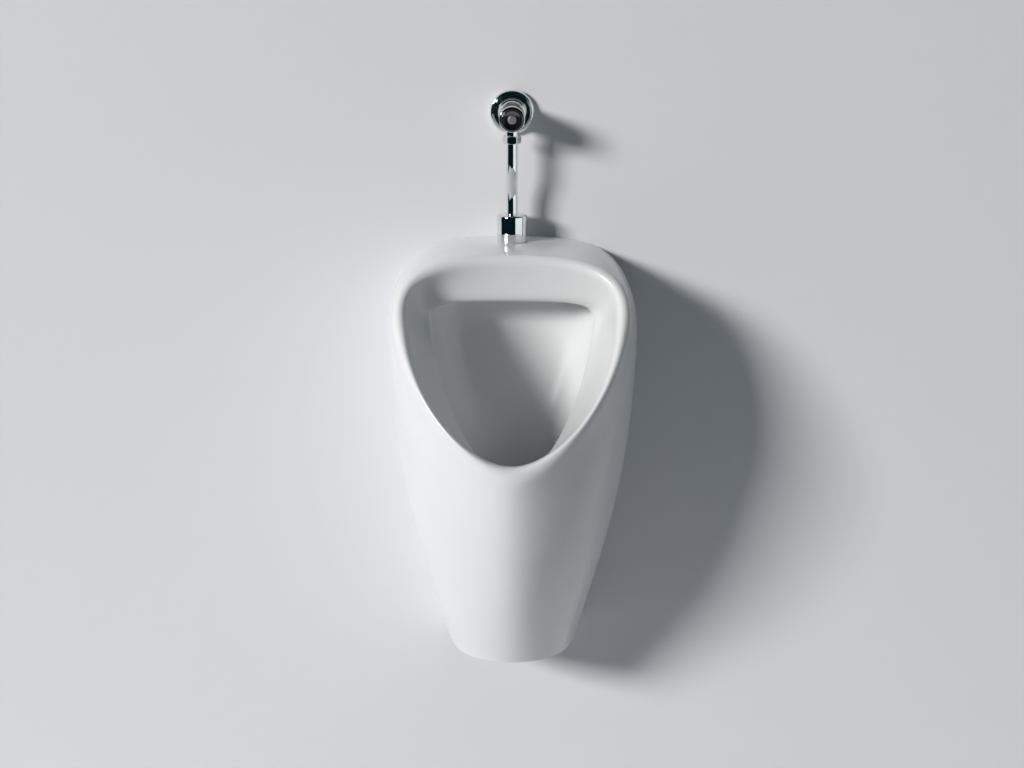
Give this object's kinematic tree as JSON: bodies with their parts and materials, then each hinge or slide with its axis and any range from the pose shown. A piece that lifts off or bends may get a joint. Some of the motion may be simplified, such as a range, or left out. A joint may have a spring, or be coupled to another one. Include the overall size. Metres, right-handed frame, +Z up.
{
  "type": "wall hung urinal",
  "caption": "Wall hung ceramic urinal with an open bowl under a hood, a push-button flush valve and pipe above, and a bottle trap and wall fixings behind.",
  "frame": {"origin": "on the wall's face, midway between the two upper fixing screws, 70 mm below the ceramic's top", "axes": "+X to the right as seen from the room, +Y into the wall, so -Y points into the room, +Z up"},
  "size_m": [0.3114, 0.3618, 0.711],
  "materials": {
    "ceramic": "white glazed vitreous china, glossy",
    "chrome": "polished chrome",
    "dark_chrome": "dark polished chrome",
    "button_disc": "plain satin grey",
    "steel": "stainless steel",
    "brass": "plain machined brass",
    "rubber": "black rubber",
    "white_plastic": "moulded white plastic",
    "grey_plastic": "moulded grey plastic"
  },
  "bodies": {
    "urinal": {"ceramic_body": "ceramic", "drain_gasket": "rubber", "waste_tail": "brass", "drain_strainer": "steel", "strainer_screw": "steel", "waste_washer": "rubber", "waste_nut": "steel", "trap_head": "white_plastic", "trap_dip_tube": "white_plastic", "trap_inlet_seal": "rubber", "trap_inlet_nut": "white_plastic", "trap_cup_seal": "rubber", "trap_cup": "white_plastic", "trap_outlet_seal": "rubber", "trap_outlet_nut": "white_plastic", "outlet_pipe": "white_plastic", "inlet_spud": "rubber", "spreader": "grey_plastic", "flush_pipe": "chrome", "pipe_union_nut": "chrome", "pipe_seal": "rubber", "flow_regulator": "grey_plastic", "vacuum_breaker": "rubber", "wall_rosette": "chrome", "inlet_nipple": "brass", "inlet_filter": "grey_plastic", "valve_body": "chrome", "cartridge_sleeve": "grey_plastic", "main_spring": "steel", "button_spring": "steel", "bonnet_oring": "rubber", "valve_bonnet": "chrome", "wall_hangers": "steel", "hanger_screws": "steel", "lower_bolts": "steel", "lower_washers": "steel", "lower_nuts": "steel"},
    "button": {"push_button": "dark_chrome", "button_insert": "button_disc", "relief_stem": "steel"},
    "piston": {"piston": "grey_plastic", "piston_cup_seal": "rubber", "seat_washer": "rubber"},
    "cover_cup": {"pipe_cap": "chrome"}
  },
  "joints": [
    {"name": "button_press", "type": "slide", "parent": "urinal", "child": "button", "axis": [0, 1, 0], "range_m": [0, 0.006], "stiffness_N_per_m": 500, "springref_m": -0.006, "deforming": ["button_spring"]},
    {"name": "piston_lift", "type": "slide", "parent": "urinal", "child": "piston", "axis": [0, -1, 0], "range_m": [0, 0.005], "deforming": ["main_spring"]},
    {"name": "cup_slide", "type": "slide", "parent": "urinal", "child": "cover_cup", "axis": [0, 0, 1], "range_m": [0, 0.015]}
  ],
  "couplings": [
    {"joint": "piston_lift", "follows": "button_press", "ratio": 0.8}
  ]
}
